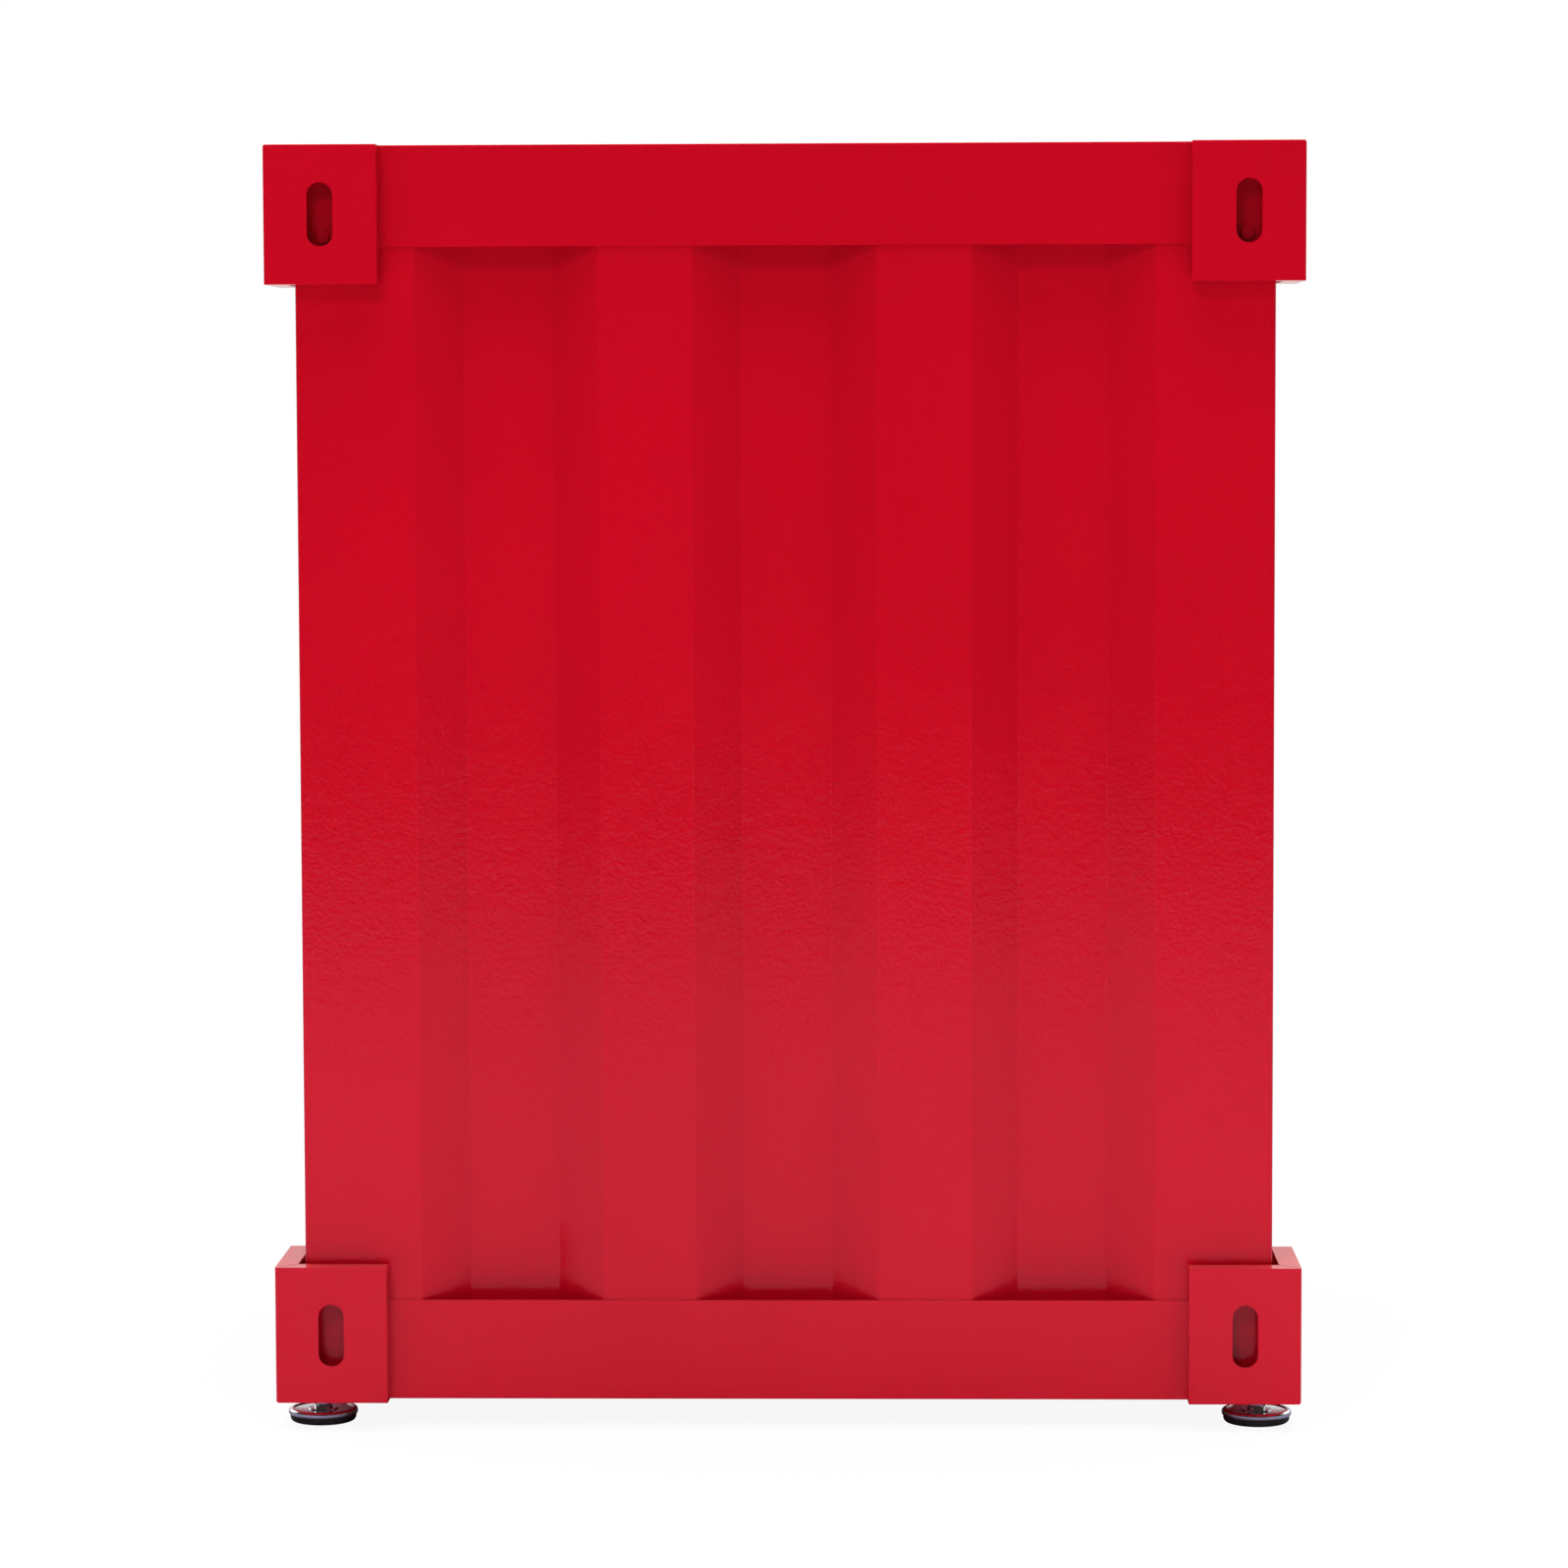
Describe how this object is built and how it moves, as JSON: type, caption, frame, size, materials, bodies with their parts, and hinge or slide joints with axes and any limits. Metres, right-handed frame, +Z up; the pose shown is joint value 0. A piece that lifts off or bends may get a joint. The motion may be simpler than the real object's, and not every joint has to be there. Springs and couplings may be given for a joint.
{
  "type": "newspaper vending box",
  "caption": "Freight-container-style street newspaper vending box: corrugated red steel walls, slotted corner castings, screw feet, drop-down window door and coin unit.",
  "frame": {"origin": "on the floor under the middle of the whole box, door handle included", "axes": "+Z up; +Y out of the door side; -Y out of the plain corrugated wall; X across"},
  "size_m": [0.44, 0.4244, 0.55],
  "materials": {
    "powder_coat_red": "semi-gloss powder coat, fine orange peel",
    "black_rubber": "matte",
    "bright_zinc": "bright turned and plated",
    "galvanised_sheet": "galvanised, lightly spangled",
    "black_sheet": "satin",
    "stainless": "brushed",
    "zinc_small": "zinc plated",
    "spring_steel": "oiled spring wire",
    "clear_pane": "clear polycarbonate",
    "chrome_lock": "polished",
    "brass_plug": "satin"
  },
  "bodies": {
    "cabinet": {"back_wall": "powder_coat_red", "base_rail_back": "powder_coat_red", "base_rail_front": "powder_coat_red", "base_rail_left": "powder_coat_red", "base_rail_right": "powder_coat_red", "button_spring": "spring_steel", "casting_lower_back_left": "powder_coat_red", "casting_lower_back_right": "powder_coat_red", "casting_lower_front_left": "powder_coat_red", "casting_lower_front_right": "powder_coat_red", "casting_upper_back_left": "powder_coat_red", "casting_upper_back_right": "powder_coat_red", "casting_upper_front_left": "powder_coat_red", "casting_upper_front_right": "powder_coat_red", "coin_chute": "galvanised_sheet", "coin_fascia": "powder_coat_red", "coin_mechanism": "black_sheet", "coin_plate_screws": "stainless", "coin_return_cup": "stainless", "coin_slot_plate": "stainless", "door_bumpers": "black_rubber", "door_springs": "spring_steel", "drawer_guide": "galvanised_sheet", "floor_tray": "galvanised_sheet", "foot_nuts": "zinc_small", "frame_rivets": "powder_coat_red", "front_post_left": "powder_coat_red", "front_post_right": "powder_coat_red", "hinge_rod": "stainless", "latch_bracket": "galvanised_sheet", "left_wall": "powder_coat_red", "paper_shelf": "galvanised_sheet", "right_wall": "powder_coat_red", "roof_panel": "powder_coat_red", "stop_pins": "zinc_small", "top_rail_back": "powder_coat_red", "top_rail_front": "powder_coat_red", "top_rail_left": "powder_coat_red", "top_rail_right": "powder_coat_red"},
    "door": {"door_pan": "powder_coat_red", "window_pane": "clear_pane", "window_retainer": "galvanised_sheet", "retainer_screws": "zinc_small", "copy_pocket": "galvanised_sheet", "door_handle": "stainless", "latch_strike": "zinc_small"},
    "latch": {"latch_hook": "zinc_small"},
    "return_button": {"coin_return_button": "stainless"},
    "return_flap": {"coin_return_flap": "stainless"},
    "drawer": {"cash_drawer": "powder_coat_red", "lock_body": "chrome_lock"},
    "lock": {"lock_plug_and_cam": "brass_plug"},
    "foot_pad_back_left_body": {"foot_pad_back_left": "black_rubber"},
    "foot_screw_back_left_body": {"foot_screw_back_left": "bright_zinc"},
    "foot_pad_front_left_body": {"foot_pad_front_left": "black_rubber"},
    "foot_screw_front_left_body": {"foot_screw_front_left": "bright_zinc"},
    "foot_pad_back_right_body": {"foot_pad_back_right": "black_rubber"},
    "foot_screw_back_right_body": {"foot_screw_back_right": "bright_zinc"},
    "foot_pad_front_right_body": {"foot_pad_front_right": "black_rubber"},
    "foot_screw_front_right_body": {"foot_screw_front_right": "bright_zinc"}
  },
  "joints": [
    {"name": "door_hinge", "type": "hinge", "parent": "cabinet", "child": "door", "pos_m": [0, 0.17125, 0.064], "axis": [-1, 0, 0], "range_deg": [0, 75], "stiffness_Nm_per_rad": 2, "springref_deg": -28.65, "deforming": ["door_springs"]},
    {"name": "latch_pivot", "type": "hinge", "parent": "cabinet", "child": "latch", "pos_m": [0, 0.11825, 0.402], "axis": [-1, 0, 0], "range_deg": [0, 16]},
    {"name": "return_button_press", "type": "slide", "parent": "cabinet", "child": "return_button", "axis": [0, -1, 0], "range_m": [0, 0.006], "stiffness_N_per_m": 300, "springref_m": -0.004, "deforming": ["button_spring"]},
    {"name": "return_flap_hinge", "type": "hinge", "parent": "cabinet", "child": "return_flap", "pos_m": [0.088, 0.175, 0.4331], "axis": [-1, 0, 0], "range_deg": [0, 55]},
    {"name": "drawer_slide", "type": "slide", "parent": "cabinet", "child": "drawer", "axis": [0, 1, 0], "range_m": [0, 0.1]},
    {"name": "lock_turn", "type": "hinge", "parent": "drawer", "child": "lock", "pos_m": [-0.04, 0.17885, 0.452], "axis": [0, -1, 0], "range_deg": [0, 90]},
    {"name": "foot_rise_back_left", "type": "slide", "parent": "cabinet", "child": "foot_pad_back_left_body", "axis": [0, 0, -1], "range_m": [0, 0.01125]},
    {"name": "foot_turn_back_left", "type": "hinge", "parent": "foot_pad_back_left_body", "child": "foot_screw_back_left_body", "pos_m": [-0.2025, -0.18825, 0], "axis": [0, 0, -1], "range_deg": [0, 3240]},
    {"name": "foot_rise_front_left", "type": "slide", "parent": "cabinet", "child": "foot_pad_front_left_body", "axis": [0, 0, -1], "range_m": [0, 0.01125]},
    {"name": "foot_turn_front_left", "type": "hinge", "parent": "foot_pad_front_left_body", "child": "foot_screw_front_left_body", "pos_m": [-0.2025, 0.16375, 0], "axis": [0, 0, -1], "range_deg": [0, 3240]},
    {"name": "foot_rise_back_right", "type": "slide", "parent": "cabinet", "child": "foot_pad_back_right_body", "axis": [0, 0, -1], "range_m": [0, 0.01125]},
    {"name": "foot_turn_back_right", "type": "hinge", "parent": "foot_pad_back_right_body", "child": "foot_screw_back_right_body", "pos_m": [0.2025, -0.18825, 0], "axis": [0, 0, -1], "range_deg": [0, 3240]},
    {"name": "foot_rise_front_right", "type": "slide", "parent": "cabinet", "child": "foot_pad_front_right_body", "axis": [0, 0, -1], "range_m": [0, 0.01125]},
    {"name": "foot_turn_front_right", "type": "hinge", "parent": "foot_pad_front_right_body", "child": "foot_screw_front_right_body", "pos_m": [0.2025, 0.16375, 0], "axis": [0, 0, -1], "range_deg": [0, 3240]}
  ],
  "couplings": [
    {"joint": "foot_turn_back_left", "follows": "foot_rise_back_left", "rad_per_m": 5026.5},
    {"joint": "foot_turn_front_left", "follows": "foot_rise_front_left", "rad_per_m": 5026.5},
    {"joint": "foot_turn_back_right", "follows": "foot_rise_back_right", "rad_per_m": 5026.5},
    {"joint": "foot_turn_front_right", "follows": "foot_rise_front_right", "rad_per_m": 5026.5}
  ]
}
